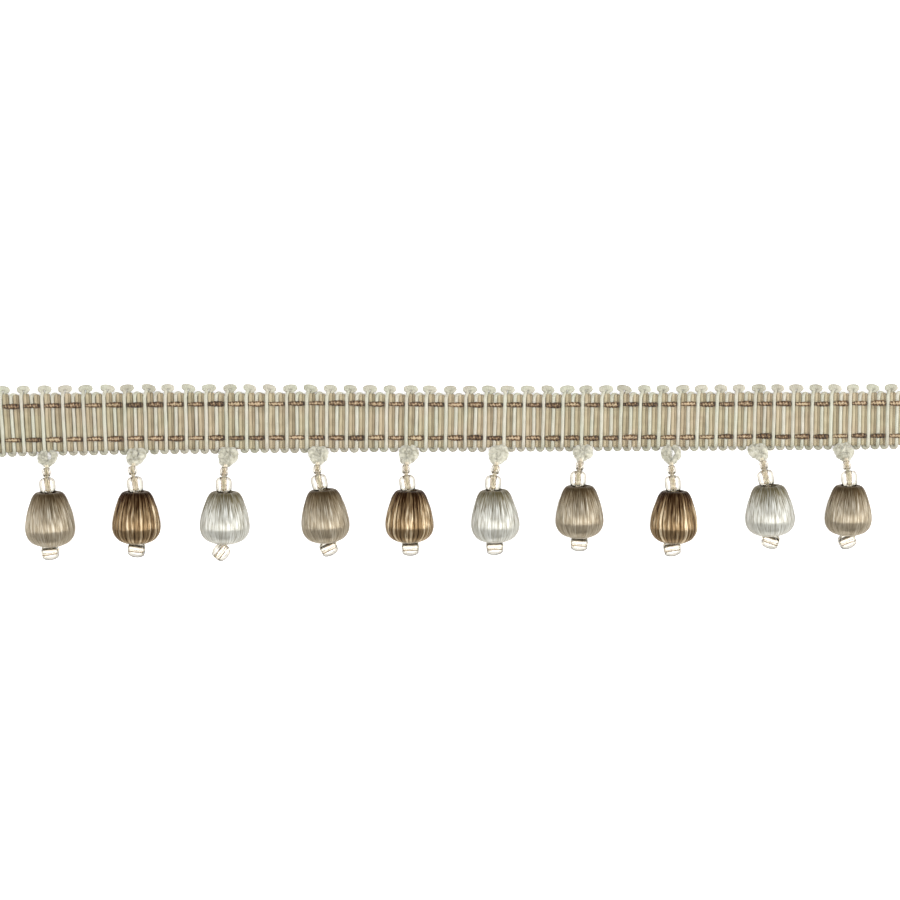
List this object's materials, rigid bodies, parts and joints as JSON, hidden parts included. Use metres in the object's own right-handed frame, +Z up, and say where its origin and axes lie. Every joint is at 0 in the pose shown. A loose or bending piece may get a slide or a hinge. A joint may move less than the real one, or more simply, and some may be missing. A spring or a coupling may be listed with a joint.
{
  "type": "drop fringe trim",
  "caption": "Ribbed braid heading with looped top edge and hanging drops of glass and silk-covered beads, laid flat.",
  "frame": {"origin": "middle of the heading's flat back, on the surface the trim lies on", "axes": "+X along the trim, +Y from the drops towards the looped top edge, +Z up, out of the face"},
  "size_m": [0.2666, 0.0512, 0.0142],
  "materials": {
    "heading": "ribbed braid of ivory and beige cord with brown yarn",
    "tie_yarn": "fuzzy ivory yarn",
    "clear_glass": "clear, faintly champagne",
    "taupe_silk": "glossy wound silk",
    "brown_silk": "glossy wound cord in two tones",
    "silver_silk": "glossy wound silk"
  },
  "bodies": {
    "root": {"heading": "heading", "tie_01": "tie_yarn", "seed_bead_01": "clear_glass", "glass_bead_01": "clear_glass", "silk_bead_01": "taupe_silk", "end_bead_01": "clear_glass", "tie_02": "tie_yarn", "seed_bead_02": "clear_glass", "glass_bead_02": "clear_glass", "silk_bead_02": "brown_silk", "end_bead_02": "clear_glass", "tie_03": "tie_yarn", "seed_bead_03": "clear_glass", "glass_bead_03": "clear_glass", "silk_bead_03": "silver_silk", "end_bead_03": "clear_glass", "tie_04": "tie_yarn", "seed_bead_04": "clear_glass", "glass_bead_04": "clear_glass", "silk_bead_04": "taupe_silk", "end_bead_04": "clear_glass", "tie_05": "tie_yarn", "seed_bead_05": "clear_glass", "glass_bead_05": "clear_glass", "silk_bead_05": "brown_silk", "end_bead_05": "clear_glass", "tie_06": "tie_yarn", "seed_bead_06": "clear_glass", "glass_bead_06": "clear_glass", "silk_bead_06": "silver_silk", "end_bead_06": "clear_glass", "tie_07": "tie_yarn", "seed_bead_07": "clear_glass", "glass_bead_07": "clear_glass", "silk_bead_07": "taupe_silk", "end_bead_07": "clear_glass", "tie_08": "tie_yarn", "seed_bead_08": "clear_glass", "glass_bead_08": "clear_glass", "silk_bead_08": "brown_silk", "end_bead_08": "clear_glass", "tie_09": "tie_yarn", "seed_bead_09": "clear_glass", "glass_bead_09": "clear_glass", "silk_bead_09": "silver_silk", "end_bead_09": "clear_glass", "tie_10": "tie_yarn", "seed_bead_10": "clear_glass", "glass_bead_10": "clear_glass", "silk_bead_10": "taupe_silk", "end_bead_10": "clear_glass"}
  },
  "joints": []
}
